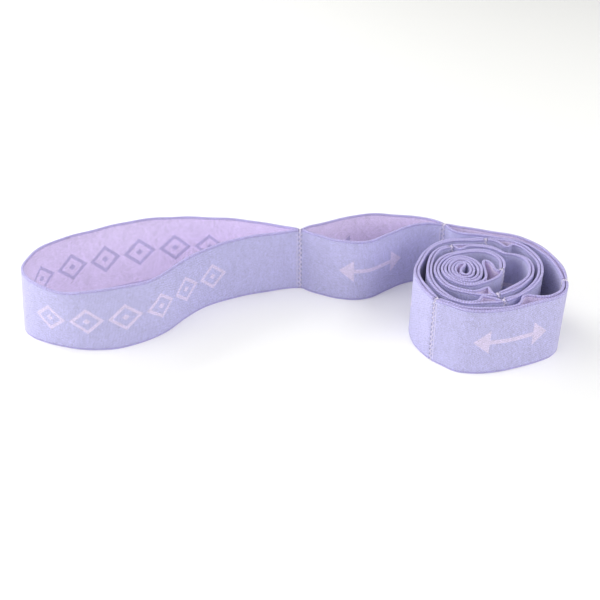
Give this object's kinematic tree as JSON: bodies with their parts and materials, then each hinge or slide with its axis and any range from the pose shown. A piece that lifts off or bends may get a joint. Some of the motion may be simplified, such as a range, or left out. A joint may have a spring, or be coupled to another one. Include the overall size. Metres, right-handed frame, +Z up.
{
  "type": "stretching strap",
  "caption": "Multi-loop stretching strap of doubled elastic webbing sewn across at intervals, its first loops lying open and the rest rolled up on edge.",
  "frame": {"origin": "midway along and across the laid-out strap, on the surface it stands on", "axes": "+X along the open loops towards the roll, +Y to the back, +Z up across the webbing's width"},
  "size_m": [0.3118, 0.116, 0.04],
  "materials": {
    "webbing": "matt woven elastic webbing, lavender with paler woven marks",
    "stitching": "pale pinkish-white sewing thread"
  },
  "bodies": {
    "roll": {"loop_04_outer_layer": "webbing", "loop_04_inner_layer": "webbing", "loop_05_outer_layer": "webbing", "loop_05_inner_layer": "webbing", "loop_06_outer_layer": "webbing", "loop_06_inner_layer": "webbing", "loop_07_outer_layer": "webbing", "loop_07_inner_layer": "webbing", "loop_08_outer_layer": "webbing", "loop_08_inner_layer": "webbing", "loop_09_outer_layer": "webbing", "loop_09_inner_layer": "webbing", "loop_10_outer_layer": "webbing", "loop_10_inner_layer": "webbing", "seam_3_thread": "stitching", "seam_4_thread": "stitching", "seam_5_thread": "stitching", "seam_6_thread": "stitching", "seam_7_thread": "stitching", "seam_8_thread": "stitching", "seam_9_thread": "stitching"},
    "loop_3": {"loop_03_outer_layer": "webbing", "loop_03_inner_layer": "webbing", "seam_2_thread": "stitching"},
    "loop_2": {"loop_02_outer_layer": "webbing", "loop_02_inner_layer": "webbing", "seam_1_thread": "stitching"},
    "loop_1": {"loop_01_webbing": "webbing"}
  },
  "joints": [
    {"name": "seam_3_bend", "type": "hinge", "parent": "roll", "child": "loop_3", "pos_m": [0.15272, -0.02353, 0], "axis": [0, 0, 1], "range_deg": [-35, 0]},
    {"name": "seam_2_bend", "type": "hinge", "parent": "loop_3", "child": "loop_2", "pos_m": [0.09312, 0.04412, 0], "axis": [0, 0, 1], "range_deg": [-30, 25]},
    {"name": "seam_1_bend", "type": "hinge", "parent": "loop_2", "child": "loop_1", "pos_m": [0.00562, 0.03732, 0], "axis": [0, 0, 1], "range_deg": [-35, 35]}
  ]
}
